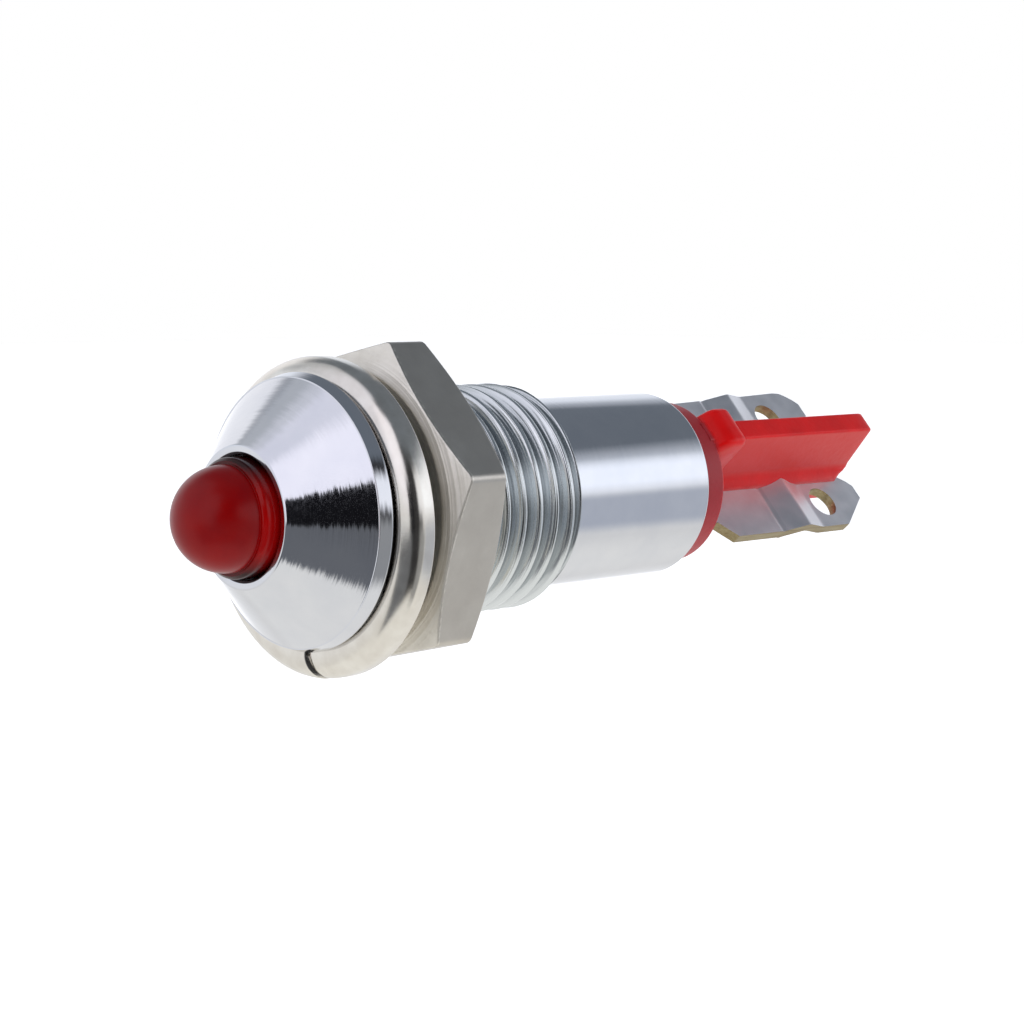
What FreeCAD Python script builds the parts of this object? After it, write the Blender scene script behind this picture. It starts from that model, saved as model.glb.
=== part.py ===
"""Panel pilot light with a conical bezel, a threaded body and two solder tabs.

The lamp lies along Y. Its lens looks towards -Y and its tabs point towards +Y, with +Z up.
The origin is on the lamp's axis, in the plane of the seat that meets the front of the panel.
Sizes are in millimetres.
"""
import FreeCAD, Part
import math
import os

AXIS = FreeCAD.Vector(0, 1, 0)
ORIGIN = FreeCAD.Vector(0, 0, 0)
DIAGONAL = math.sqrt(0.5)   # places the middle of a quarter arc

# Clearances
running_clearance = 0.04    # nut on thread, on radius
washer_clearance = 0.36     # lock washer round the thread, on radius
seat_clearance = 0.03       # faces that meet but belong to loose pieces
slip_clearance = 0.05       # pieces pushed into a bore or a slot
press_clearance = 0.01      # spigot of the rear insulator in the barrel

# Thread, as cut: M8 x 0.75
thread_diameter = 7.86
thread_pitch = 0.75
thread_length = 9.25        # seat to the last turn
thread_depth_ratio = 0.6134  # depth of a metric thread over its pitch
thread_crest_ratio = 0.125  # flat left on the crest, over the pitch
thread_flank_angle = 30.0   # degrees from each flank to the plane across the axis
thread_entry = 0.4          # seat to the middle of the groove where it begins, in the undercut
thread_entry_turn = 132.0   # degrees from the X axis to this place
thread_root_lift = 0.01     # bottom of the groove over the undercut
relief_length = 0.5         # undercut between the seat and the first turn

# Bezel head
land_diameter = 9.12        # at the seat
land_front_diameter = 8.84
land_length = 0.53
cone_diameter = 8.76        # at the foot of the cone
cone_length = 2.04
nose_diameter = 4.6
head_edge = 0.1             # break on the rear edge of the head

# Plain barrel behind the thread
barrel_diameter = 6.70
barrel_length = 6.91
barrel_edge = 0.08

# Bores of the housing
nose_wall = 0.62            # nose face to the seat of the lens flange
nose_rim_chamfer = 0.1
cup_diameter = 5.1          # holds the lens flange and the LED holder
cup_depth = 5.2             # from the seat of the lens flange
main_bore_diameter = 5.5

# Lens
dome_diameter = 3.44
collar_diameter = 3.88
collar_projection = 0.5     # collar beyond the nose face
collar_edge = 0.12
dome_stem = 0.08            # straight part between collar and dome
lens_flange_thickness = 0.6
lens_wall = 0.42            # at the dome
lens_collar_bore = 3.16

# LED
led_diameter = 3.0
led_flange_diameter = 3.8
led_flange_thickness = 1.0
led_flange_flat = 0.25      # depth of the flat beside the cathode
led_stem_length = 2.8       # flange to the start of the dome
led_lead_width = 0.45
led_lead_pitch = 2.54
led_lead_length = 2.0
holder_back = 0.35          # depth of the pocket behind the LED flange

# Resistor and diode, side by side behind the LED and midway between its leads and the tabs
body_gap = 0.34             # between two bodies of the resistor's size
resistor_clearance = 0.066  # in the insulating sleeve, on radius
diode_clearance = 0.166
lead_wire_diameter = 0.5
lead_lap = 1.2              # length over which two soldered leads lie side by side
solder_diameter = 1.2
solder_overlap = 0.12       # solder beyond each end of the lap
resistor_waist_depth = 0.175
resistor_length = 6.0
resistor_cap_length = 1.1
diode_length = 3.9
diode_edge = 0.3

# Insulating sleeve between these parts and the barrel
sleeve_wall = 0.25
sleeve_front_gap = 0.3      # behind the shoulder of the main bore

# Rear insulator
spigot_length = 2.4
flange_diameter = 5.96
flange_thickness = 1.25
hub_width = 1.74
hub_length = 1.35
hub_top = 3.35
hub_chamfer = 0.45
wall_top = 3.0              # height of the wall over the axis
wall_top_width = 0.84
wall_knee = 1.16            # height where the wall spreads into its foot
wall_knee_width = 1.62
foot_top = 0.84
foot_width = 2.4
foot_bottom = -0.35
foot_end_taper = 0.6        # length over which the foot narrows to the wall at its end
wall_length = 9.05          # behind the flange
wall_end_lean = 0.38        # the end leans back towards its top edge
wall_end_chamfer = 0.14

# Solder tabs
tab_thickness = 0.4
tab_height = 0.34           # underside of the tab over the axis
tab_length = 9.43           # behind the flange
straight_edge = 1.15        # from the middle of the hole to the straight edge
straight_corner_length = 1.65
tapered_root = 0.9          # from the middle of the hole to the tapered edge, at the flange
tapered_tip = 1.22          # and where its rounded corner begins
tapered_corner_length = 1.19
tapered_corner_middle = 1.02
tapered_corner_drop = 0.5   # from the tip to the middle of the rounded corner
tab_tip_width = 0.6
neck_outer_edge = 2.55
neck_length = 0.5           # behind the flange, before the shoulder
tail_width = 1.1            # inside the housing
tail_length = 1.5           # ahead of the spigot
notch_width = 0.56          # holds the lead wire
notch_clearance = 0.15
bump_start = 3.85           # behind the flange
bump_rise_length = 1.25
bump_fall_length = 0.95
bump_flat = 0.1
bump_height = 0.26
hole_diameter = 1.3
hole_offset = 2.1           # from the axis
hole_place = 7.05           # behind the flange
tail_turn = 48.5            # degrees from the Z axis of the lamp to the wall of the insulator

# Hexagon nut
nut_sides = 6
nut_across_flats = 10.0
nut_thickness = 2.35
nut_chamfer_angle = 21.5
nut_face_diameter = 9.3
nut_countersink = 0.3
nut_turn = 13.0             # degrees from the X axis to a corner

# Split lock washer
washer_bar_width = 0.99     # from the bore to the outer edge
washer_thickness = 1.24
washer_rise = 0.1           # how far the coil climbs from end to end
washer_front_round = 0.5    # how far the front of the outer edge is rounded off, along the axis
washer_rear_round = 0.22    # the same at the rear
washer_flat = 0.1           # flat left at the bore on the front face
washer_slit = 0.18
washer_play = 0.48          # room between the loose washer and the nut
washer_shift_x = -0.18      # the loose washer hangs off centre
washer_shift_z = -0.24
washer_turn = -85.0         # degrees from the X axis to the slit

# Places along the lamp that follow from the sizes above
thread_radius = thread_diameter / 2
thread_depth = thread_pitch * thread_depth_ratio
thread_end_chamfer = thread_depth * 2 / 3
cone_y = -land_length
nose_y = cone_y - cone_length
lens_seat_y = nose_y + nose_wall
shoulder_y = lens_seat_y + cup_depth
barrel_end_y = thread_length + barrel_length
collar_y = nose_y - collar_projection
dome_y = collar_y - dome_stem
lens_back_y = lens_seat_y + lens_flange_thickness
led_flange_y = shoulder_y - holder_back - led_flange_thickness
led_back_y = led_flange_y + led_flange_thickness
led_dome_y = led_flange_y - led_stem_length
led_lead_end_y = led_back_y + led_lead_length
front_lap_y = led_lead_end_y - lead_lap
spigot_y = barrel_end_y - spigot_length
flange_back_y = barrel_end_y + flange_thickness
tail_y = spigot_y - tail_length
rear_lap_end_y = tail_y + lead_lap
nut_y = seat_clearance + washer_thickness + washer_rise + washer_play

# Places across the lamp that follow from the sizes above
wire_height = tab_height + tab_thickness / 2
sleeve_bore_radius = main_bore_diameter / 2 - slip_clearance - sleeve_wall
series_reach = sleeve_bore_radius - resistor_clearance + body_gap / 2
series_pitch = (series_reach ** 2 - wire_height ** 2) / series_reach
wire_radius = math.hypot(series_pitch / 2, wire_height)
resistor_radius = sleeve_bore_radius - resistor_clearance - wire_radius
diode_radius = sleeve_bore_radius - diode_clearance - wire_radius
washer_bore_radius = thread_radius + washer_clearance
washer_outer_radius = washer_bore_radius + washer_bar_width


def vector(point, height=0.0):
    """Place of a profile point (across, along) at a height over the plane of the profile."""
    return FreeCAD.Vector(point[0], point[1], height)


def outline(steps):
    """Closed face in the XY plane. A step is a point, or a pair (middle, end) for an arc."""
    edges = []
    start = steps[0]
    last = start
    for step in list(steps[1:]) + [start]:
        if isinstance(step[0], tuple):
            middle, end = step
            edges.append(Part.Arc(vector(last), vector(middle), vector(end)).toShape())
        else:
            end = step
            edges.append(Part.makeLine(vector(last), vector(end)))
        last = end
    return Part.Face(Part.Wire(edges))


def turned(steps):
    """Solid turned about the lamp's axis from a profile of (radius, place along Y)."""
    return outline(steps).revolve(ORIGIN, AXIS, 360)


def rod(diameter, start, end, across=0.0, height=0.0):
    """Round rod along Y."""
    return Part.makeCylinder(diameter / 2, end - start, FreeCAD.Vector(across, start, height), AXIS)


def block(left, right, start, end, bottom, top):
    """Box between three pairs of planes."""
    corner = FreeCAD.Vector(left, start, bottom)
    return Part.makeBox(right - left, end - start, top - bottom, corner)


def plate(points, bottom, top):
    """Flat plate with an outline of (across, along) points, between two heights."""
    face = outline(points)
    face.translate(FreeCAD.Vector(0, 0, bottom))
    return face.extrude(FreeCAD.Vector(0, 0, top - bottom))


def rib(points, start, end):
    """Bar along Y with a section of (across, height) points."""
    corners = [FreeCAD.Vector(across, start, height) for across, height in points]
    face = Part.Face(Part.makePolygon(corners + corners[:1]))
    return face.extrude(FreeCAD.Vector(0, end - start, 0))


def upright(points, left, right):
    """Solid with a side view of (along, height) points, from one side to the other."""
    corners = [FreeCAD.Vector(left, along, height) for along, height in points]
    face = Part.Face(Part.makePolygon(corners + corners[:1]))
    return face.extrude(FreeCAD.Vector(right - left, 0, 0))


def mirrored(points):
    """Section points on the right, followed by their mirror images on the left."""
    return points + [(-across, height) for across, height in reversed(points)]


def thread_groove():
    """Groove of the right-hand thread, swept one turn at a time from the undercut to the end."""
    overshoot = thread_depth / 10
    flank = math.tan(math.radians(thread_flank_angle))
    crest_half = thread_pitch * (1 - thread_crest_ratio) / 2
    outer_half = crest_half + overshoot * flank
    bottom_half = crest_half - (thread_depth - thread_root_lift) * flank
    bottom = thread_radius - thread_depth + thread_root_lift
    section = Part.makePolygon([
        FreeCAD.Vector(bottom, 0, -bottom_half),
        FreeCAD.Vector(thread_radius + overshoot, 0, -outer_half),
        FreeCAD.Vector(thread_radius + overshoot, 0, outer_half),
        FreeCAD.Vector(bottom, 0, bottom_half),
        FreeCAD.Vector(bottom, 0, -bottom_half),
    ])
    path = Part.makeHelix(thread_pitch, thread_pitch, bottom)
    one_turn = Part.Wire(path.Edges).makePipeShell([section], True, True)
    one_turn.rotate(ORIGIN, FreeCAD.Vector(1, 0, 0), -90)
    one_turn.rotate(ORIGIN, AXIS, -thread_entry_turn)
    turns = []
    for turn in range(math.ceil((thread_length - thread_entry) / thread_pitch) + 1):
        groove = one_turn.copy()
        groove.translate(AXIS * (thread_entry + turn * thread_pitch))
        turns.append(groove)
    return turns[0].fuse(turns[1:])


def housing():
    """Conical bezel, thread and barrel, turned from one bar, threaded and bored through."""
    land = land_diameter / 2
    relief = thread_radius - thread_depth
    barrel = barrel_diameter / 2
    opening = nose_bore_radius()
    main = main_bore_diameter / 2
    cup = cup_diameter / 2
    body = turned([
        (opening, nose_y + nose_rim_chamfer),
        (opening + nose_rim_chamfer, nose_y),
        (nose_diameter / 2, nose_y),
        (cone_diameter / 2, cone_y),
        (land_front_diameter / 2, cone_y),
        (land, -head_edge),
        (land - head_edge, 0),
        (relief, 0),
        (relief, relief_length),
        (thread_radius, relief_length + thread_depth),
        (thread_radius, thread_length - thread_end_chamfer),
        (thread_radius - thread_end_chamfer, thread_length),
        (barrel, thread_length),
        (barrel, barrel_end_y - barrel_edge),
        (barrel - barrel_edge, barrel_end_y),
        (main, barrel_end_y),
        (main, shoulder_y),
        (cup, shoulder_y),
        (cup, lens_seat_y),
        (opening, lens_seat_y),
    ])
    return body.cut(thread_groove())


def nose_bore_radius():
    """Opening of the bezel round the collar of the lens."""
    return collar_diameter / 2 + slip_clearance


def lens():
    """Hollow dome, collar and flange, moulded as one piece."""
    dome = dome_diameter / 2
    inner = dome - lens_wall
    collar = collar_diameter / 2
    bore = lens_collar_bore / 2
    flange = cup_diameter / 2 - slip_clearance
    step_y = dome_y + lens_wall + bore - inner
    return turned([
        (0, dome_y - dome),
        ((dome * DIAGONAL, dome_y - dome * DIAGONAL), (dome, dome_y)),
        (dome, collar_y),
        (collar - collar_edge, collar_y),
        (collar, collar_y + collar_edge),
        (collar, lens_seat_y),
        (flange, lens_seat_y),
        (flange, lens_back_y),
        (bore, lens_back_y),
        (bore, step_y),
        (inner, step_y - (bore - inner)),
        (inner, dome_y),
        ((inner * DIAGONAL, dome_y - inner * DIAGONAL), (0, dome_y - inner)),
    ])


def led_holder():
    """Sleeve that presses the lens flange forward and centres the LED."""
    outer = cup_diameter / 2 - slip_clearance
    bore = led_diameter / 2 + slip_clearance
    pocket = led_flange_diameter / 2 + slip_clearance
    return turned([
        (bore, lens_back_y),
        (outer, lens_back_y),
        (outer, shoulder_y),
        (pocket, shoulder_y),
        (pocket, led_flange_y),
        (bore, led_flange_y),
    ])


def led_body():
    """Moulded 3 mm LED with a round nose, and a flange that has a flat at the cathode."""
    stem = led_diameter / 2
    flange = led_flange_diameter / 2
    body = turned([
        (0, led_dome_y - stem),
        ((stem * DIAGONAL, led_dome_y - stem * DIAGONAL), (stem, led_dome_y)),
        (stem, led_flange_y),
        (flange, led_flange_y),
        (flange, led_back_y),
        (0, led_back_y),
    ])
    flat = block(-flange, -flange + led_flange_flat, led_flange_y, led_back_y, -flange, flange)
    return body.cut(flat)


def led_lead(side):
    """Square lead of the LED."""
    half = led_lead_width / 2
    across = side * led_lead_pitch / 2
    return block(across - half, across + half, led_back_y, led_lead_end_y, -half, half)


def series_across(side):
    """How far the resistor or the diode lies from the axis."""
    return side * series_pitch / 2


def body_span(side):
    """Both ends of the resistor, on the near side, or of the diode. They lie midway."""
    length = resistor_length if side > 0 else diode_length
    start = (led_lead_end_y + tail_y - length) / 2
    return start, start + length


def front_wire(side):
    """Lead wire of the resistor or diode, beside the lead of the LED."""
    end = body_span(side)[0]
    return rod(lead_wire_diameter, front_lap_y, end, series_across(side), wire_height)


def rear_wire(side):
    """Lead wire from the back of the body to the notch of the tab."""
    start = body_span(side)[1]
    return rod(lead_wire_diameter, start, rear_lap_end_y, series_across(side), wire_height)


def placed(shape, side):
    """Turned body moved from the axis to the place of the resistor or diode."""
    shape.translate(FreeCAD.Vector(series_across(side), 0, wire_height))
    return shape


def resistor_body():
    """Lacquered resistor body with a cap at each end and a waist between them."""
    start, end = body_span(1)
    cap = resistor_radius
    edge = resistor_waist_depth
    waist = cap - edge
    return placed(turned([
        (0, start),
        (waist, start),
        (cap, start + edge),
        (cap, start + resistor_cap_length - edge),
        (waist, start + resistor_cap_length),
        (waist, end - resistor_cap_length),
        (cap, end - resistor_cap_length + edge),
        (cap, end - edge),
        (waist, end),
        (0, end),
    ]), 1)


def diode_body():
    """Glass diode body with softened ends."""
    start, end = body_span(-1)
    radius = diode_radius
    return placed(turned([
        (0, start),
        (radius - diode_edge, start),
        (radius, start + diode_edge),
        (radius, end - diode_edge),
        (radius - diode_edge, end),
        (0, end),
    ]), -1)


def solder(start, end, side, height, pieces):
    """Spindle of solder round a lap, with the leads that it joins taken out of it."""
    full = solder_diameter / 2
    thin = lead_wire_diameter / 2 + solder_overlap
    slope = full - thin
    bead = turned([
        (0, start),
        (thin, start),
        (full, start + slope),
        (full, end - slope),
        (thin, end),
        (0, end),
    ])
    bead.translate(FreeCAD.Vector(series_across(side), 0, height))
    for piece in pieces:
        bead = bead.cut(piece)
    return bead


def front_solder(side):
    """Solder between a lead of the LED and a lead wire."""
    start = front_lap_y - solder_overlap
    end = led_lead_end_y + solder_overlap
    height = wire_height / 2
    return solder(start, end, side, height, [led_lead(side), front_wire(side)])


def rear_solder(side):
    """Solder between a lead wire and the notched tail of a tab."""
    start = tail_y - solder_overlap
    end = rear_lap_end_y + solder_overlap
    return solder(start, end, side, wire_height, [tab(side), rear_wire(side)])


def insulating_sleeve():
    """Tube between the live parts and the metal barrel."""
    outer = sleeve_bore_radius + sleeve_wall
    inner = sleeve_bore_radius
    start = shoulder_y + sleeve_front_gap
    end = spigot_y - seat_clearance
    return turned([(inner, start), (outer, start), (outer, end), (inner, end)])


def tab_edges(side, grow):
    """Outer edge, tip and inner edge of a tab. Both tabs are punched alike, so what is the outer
    edge of the near one is the inner edge of the far one.
    """
    tip = flange_back_y + tab_length + grow
    root = flange_back_y + neck_length - grow
    straight = straight_edge + grow
    tapered = tapered_root + grow
    tapered_end = tapered_tip + grow
    neck = neck_outer_edge + grow
    straight_corner = tip - straight_corner_length
    tapered_corner = tip - tapered_corner_length
    corner_middle = tip - tapered_corner_drop
    if side > 0:
        shoulder = root + hole_offset + straight - neck
        return [
            (neck, root),
            (hole_offset + straight, shoulder),
            (hole_offset + straight, straight_corner),
            (hole_offset, tip),
            (hole_offset - tab_tip_width, tip),
            ((hole_offset - tapered_corner_middle, corner_middle),
             (hole_offset - tapered_end, tapered_corner)),
            (hole_offset - tapered, root),
        ]
    shoulder = root + hole_offset + tapered - neck
    return [
        (neck, root),
        (hole_offset + tapered, shoulder),
        (hole_offset + tapered_end, tapered_corner),
        ((hole_offset + tapered_corner_middle, corner_middle),
         (hole_offset + tab_tip_width, tip)),
        (hole_offset, tip),
        (hole_offset - straight, straight_corner),
        (hole_offset - straight, root),
    ]


def tab(side, grow=0.0):
    """Solder tab punched from sheet, with a pressed bump. Growing it gives the slot that holds it."""
    top = tab_height + tab_thickness
    rise = flange_back_y + bump_start
    crest = rise + bump_rise_length
    fall = crest + bump_flat
    level = fall + bump_fall_length
    tip = flange_back_y + tab_length + grow
    start = tail_y
    strip = [
        (start, tab_height - grow),
        (rise, tab_height - grow),
        (crest, tab_height + bump_height - grow),
        (fall, tab_height + bump_height - grow),
        (level, tab_height - grow),
        (tip, tab_height - grow),
        (tip, top + grow),
        (level, top + grow),
        (fall, top + bump_height + grow),
        (crest, top + bump_height + grow),
        (rise, top + grow),
        (start, top + grow),
    ]
    sheet = upright(strip, 0, 2 * hole_offset)
    tail_in = series_across(1) - tail_width / 2 - grow
    tail_out = series_across(1) + tail_width / 2 + grow
    neck_out = neck_outer_edge + grow
    neck_in = tab_edges(side, grow)[-1][0]
    neck_start = spigot_y + seat_clearance
    neck_full = neck_start + neck_out - tail_out
    blank = plate([
        (tail_in, start),
        (tail_out, start),
        (tail_out, neck_start),
        (neck_out, neck_full),
    ] + tab_edges(side, grow) + [
        (neck_in, neck_full + neck_in - tail_in),
        (tail_in, neck_full),
    ], tab_height - tab_thickness, top + tab_thickness)
    piece = sheet.common(blank)
    if grow == 0.0:
        hole_y = flange_back_y + hole_place
        hole = Part.makeCylinder(hole_diameter / 2, 3 * tab_thickness,
                                 FreeCAD.Vector(hole_offset, hole_y, tab_height - tab_thickness))
        half = notch_width / 2
        notch = block(series_across(1) - half, series_across(1) + half,
                      start, rear_lap_end_y + notch_clearance,
                      tab_height - tab_thickness, top + tab_thickness)
        piece = piece.cut(hole).cut(notch)
    if side < 0:
        piece = piece.mirror(ORIGIN, FreeCAD.Vector(1, 0, 0))
    return piece


def rear_insulator():
    """Moulded plug with a flange, a hub and the wall that keeps the two tabs apart."""
    spigot = rod(main_bore_diameter - 2 * press_clearance, spigot_y, barrel_end_y)
    flange = rod(flange_diameter, barrel_end_y, flange_back_y)
    half = hub_width / 2
    hub_end = flange_back_y + hub_length
    hub_side = [
        (flange_back_y, foot_bottom),
        (hub_end, foot_bottom),
        (hub_end, hub_top),
        (flange_back_y + hub_chamfer, hub_top),
        (flange_back_y, hub_top - hub_chamfer),
    ]
    hub = upright(hub_side, -half, half)
    section = mirrored([
        (foot_width / 2, foot_bottom),
        (foot_width / 2, foot_top),
        (wall_knee_width / 2, wall_knee),
        (wall_top_width / 2, wall_top),
    ])
    wall_end = flange_back_y + wall_length
    tall = wall_top - foot_bottom
    wall = rib(section, flange_back_y, wall_end + wall_end_lean)
    side_view = [
        (flange_back_y, foot_bottom),
        (wall_end, foot_bottom),
        (wall_end + wall_end_lean * (1 - wall_end_chamfer / tall), wall_top - wall_end_chamfer),
        (wall_end + wall_end_lean - wall_end_chamfer, wall_top),
        (flange_back_y, wall_top),
    ]
    wall = wall.common(upright(side_view, -foot_width / 2, foot_width / 2))
    knee = wall_knee_width / 2
    foot = foot_width / 2
    last = wall_end + wall_end_lean
    plan = plate([
        (-foot, flange_back_y),
        (foot, flange_back_y),
        (foot, wall_end - foot_end_taper),
        (knee, wall_end),
        (knee, last),
        (-knee, last),
        (-knee, wall_end),
        (-foot, wall_end - foot_end_taper),
    ], foot_bottom, wall_top)
    wall = wall.common(plan)
    body = spigot.fuse([flange, hub, wall]).removeSplitter()
    for side in (1, -1):
        body = body.cut(tab(side, slip_clearance))
    return body


def hex_nut():
    """Thin hexagon nut, chamfered on both faces."""
    radius = nut_across_flats / 2 / math.cos(math.pi / nut_sides)
    corners = []
    for corner in range(nut_sides + 1):
        angle = math.radians(nut_turn + 360 / nut_sides * corner)
        corners.append(FreeCAD.Vector(radius * math.cos(angle), nut_y, radius * math.sin(angle)))
    prism = Part.Face(Part.makePolygon(corners)).extrude(AXIS * nut_thickness)
    face = nut_face_diameter / 2
    drop = (radius - face) * math.tan(math.radians(nut_chamfer_angle))
    bore = thread_radius + running_clearance
    back = nut_y + nut_thickness
    blank = turned([
        (bore + nut_countersink, nut_y),
        (face, nut_y),
        (radius, nut_y + drop),
        (radius, back - drop),
        (face, back),
        (bore + nut_countersink, back),
        (bore, back - nut_countersink),
        (bore, nut_y + nut_countersink),
    ])
    return prism.common(blank)


def lock_washer():
    """One coil of spring bar with a rounded outer edge, slit and sprung apart along the axis."""
    bore = washer_bore_radius
    outer = washer_outer_radius
    rounding = outer - bore - washer_flat
    shoulder = bore + washer_flat + rounding * DIAGONAL
    front = washer_front_round
    rear = washer_rear_round
    back = washer_thickness
    profile = outline([
        (bore, 0),
        (bore + washer_flat, 0),
        ((shoulder, front * (1 - DIAGONAL)), (outer, front)),
        (outer, back - rear),
        ((shoulder, back - rear * (1 - DIAGONAL)), (bore + washer_flat, back)),
        (bore, back),
    ])
    slit_angle = math.degrees(washer_slit / outer)
    sweep = 360 - slit_angle
    pitch = washer_rise * 360 / sweep
    path = Part.makeHelix(pitch, washer_rise, (bore + outer) / 2)
    section = profile.OuterWire
    section.rotate(ORIGIN, FreeCAD.Vector(1, 0, 0), 90)
    coil = Part.Wire(path.Edges).makePipeShell([section], True, True)
    coil.rotate(ORIGIN, FreeCAD.Vector(1, 0, 0), -90)
    coil.rotate(ORIGIN, AXIS, -washer_turn - slit_angle / 2)
    coil.translate(FreeCAD.Vector(washer_shift_x, seat_clearance, washer_shift_z))
    return coil


def along_tail(shape):
    """Shape turned about the axis into the direction of the tabs."""
    shape.rotate(ORIGIN, AXIS, tail_turn)
    return shape


def build():
    """Every sub-part under the name of its node."""
    return {
        "housing": housing(),
        "lens": lens(),
        "hex_nut": hex_nut(),
        "lock_washer": lock_washer(),
        "led_holder": led_holder(),
        "led_body": along_tail(led_body()),
        "led_anode_lead": along_tail(led_lead(1)),
        "led_cathode_lead": along_tail(led_lead(-1)),
        "resistor_body": along_tail(resistor_body()),
        "resistor_front_wire": along_tail(front_wire(1)),
        "resistor_rear_wire": along_tail(rear_wire(1)),
        "diode_body": along_tail(diode_body()),
        "diode_front_wire": along_tail(front_wire(-1)),
        "diode_rear_wire": along_tail(rear_wire(-1)),
        "solder_anode": along_tail(front_solder(1)),
        "solder_cathode": along_tail(front_solder(-1)),
        "solder_tab_near": along_tail(rear_solder(1)),
        "solder_tab_far": along_tail(rear_solder(-1)),
        "insulating_sleeve": insulating_sleeve(),
        "rear_insulator": along_tail(rear_insulator()),
        "tab_near": along_tail(tab(1)),
        "tab_far": along_tail(tab(-1)),
    }


os.makedirs("parts", exist_ok=True)
for name, shape in build().items():
    shape.exportStep("parts/" + name + ".step")
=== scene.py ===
import math

import bmesh
import bpy
import numpy as np
from mathutils import Matrix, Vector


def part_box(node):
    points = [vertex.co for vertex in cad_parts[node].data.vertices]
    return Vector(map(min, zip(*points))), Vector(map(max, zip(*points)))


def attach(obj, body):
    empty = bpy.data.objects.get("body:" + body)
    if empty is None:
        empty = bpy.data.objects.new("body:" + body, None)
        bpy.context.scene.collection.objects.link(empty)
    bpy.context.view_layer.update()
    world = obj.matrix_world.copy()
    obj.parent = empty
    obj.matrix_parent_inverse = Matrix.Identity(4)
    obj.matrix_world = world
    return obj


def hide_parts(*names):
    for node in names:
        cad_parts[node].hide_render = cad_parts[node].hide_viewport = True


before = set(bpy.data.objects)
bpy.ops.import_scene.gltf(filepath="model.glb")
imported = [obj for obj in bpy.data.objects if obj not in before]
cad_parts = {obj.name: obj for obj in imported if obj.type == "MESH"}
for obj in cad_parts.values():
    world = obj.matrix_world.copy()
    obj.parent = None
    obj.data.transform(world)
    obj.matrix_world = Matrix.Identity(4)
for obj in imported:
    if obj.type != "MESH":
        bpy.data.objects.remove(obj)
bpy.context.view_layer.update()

# Camera
# The lamp was photographed from the front right, a little above its axis, with a longish lens.
# The view comes from a camera solved on the outlines of the head, thread and barrel.
camera_data = bpy.data.cameras.new("photo_camera")
camera_data.lens = 83.9
camera_data.sensor_width = 36.0
camera_data.clip_start = 0.005
camera_data.clip_end = 5.0
camera = bpy.data.objects.new("photo_camera", camera_data)
bpy.context.scene.collection.objects.link(camera)
camera_right = (0.69770, 0.71639, 0.0)
camera_up = (-0.06830, 0.06652, 0.99545)
camera_back = (0.71312, -0.69452, 0.09534)
camera_place = (0.059839, -0.048810, 0.007378)
camera.matrix_world = Matrix([
    [right, up, back, place]
    for right, up, back, place in zip(camera_right, camera_up, camera_back, camera_place)
] + [[0, 0, 0, 1]])
bpy.context.scene.camera = camera
bpy.context.scene.view_settings.view_transform = "Standard"

# Studio
# A white table with soft boxes and dark cards round it, under a slate ceiling. The plated brass
# mirrors all of it, so the boxes and cards are soft shapes in the world's light.


def node(tree, kind, sockets=None, output=0, **settings):
    """One shader node. Each socket gets a value, or a link from another node's output."""
    made = tree.nodes.new("ShaderNode" + kind)
    for name, value in settings.items():
        setattr(made, name, value)
    for name, value in (sockets or {}).items():
        if isinstance(value, bpy.types.NodeSocket):
            tree.links.new(value, made.inputs[name])
        else:
            made.inputs[name].default_value = value
    return made.outputs[output]


def arithmetic(tree, operation, *values):
    """One step of arithmetic on numbers and links."""
    return node(tree, "Math", dict(enumerate(values)), operation=operation)


def part_of(tree, vector, axis):
    """The X, Y or Z part of a vector."""
    return node(tree, "SeparateXYZ", {0: vector}, output=axis)


def pointing(tree, vector, direction):
    """How far a vector points in a direction: their dot product."""
    return node(tree, "VectorMath", {0: vector, 1: direction}, output="Value",
                operation="DOT_PRODUCT")


def ranged(tree, value, low, high, to_low, to_high, **settings):
    """Value carried from low to high over to the range to_low to to_high, held at its ends."""
    return node(tree, "MapRange", {0: value, 1: low, 2: high, 3: to_low, 4: to_high}, **settings)


def stepped(tree, value, stops, smooth=True):
    """Colour ramp along a value, through stops of (place, colour)."""
    ramp = tree.nodes.new("ShaderNodeValToRGB")
    ramp.color_ramp.interpolation = "LINEAR" if smooth else "CONSTANT"
    while len(ramp.color_ramp.elements) < len(stops):
        ramp.color_ramp.elements.new(0.5)
    for element, (place, colour) in zip(ramp.color_ramp.elements, stops):
        element.position = place
        element.color = (*colour, 1.0)
    tree.links.new(value, ramp.inputs[0])
    return ramp.outputs[0]


def mixed(tree, share, first, second):
    """The first colour where the share is 0, and the second where it is 1."""
    return node(tree, "MixRGB", {0: share, 1: first, 2: second})


def soft_window(tree, angle, half, blur):
    """1 where the angle is within half of 0, 0 outside it, with a smooth step of the blur's width."""
    return ranged(tree, arithmetic(tree, "ABSOLUTE", angle), half + blur, half - blur, 0.0, 1.0,
                  interpolation_type="SMOOTHSTEP")


def studio_panel(tree, behind, colour, turn, height, half_turn, half_height, blur):
    """A soft box or card over what is behind it. It is a window in the angle round the lamp, from
    the lens towards the camera's side, times a window in the angle above the table, in degrees."""
    turned_to = math.radians(turn)
    ahead = pointing(tree, studio_direction, (math.sin(turned_to), -math.cos(turned_to), 0.0))
    beside = pointing(tree, studio_direction, (math.cos(turned_to), math.sin(turned_to), 0.0))
    round_degrees = arithmetic(tree, "DEGREES", arithmetic(tree, "ARCTAN2", beside, ahead))
    above = arithmetic(tree, "SUBTRACT", studio_height, height)
    share = arithmetic(tree, "MULTIPLY", soft_window(tree, round_degrees, half_turn, blur),
                       soft_window(tree, above, half_height, blur))
    return mixed(tree, share, behind, (*colour, 1.0))


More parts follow.
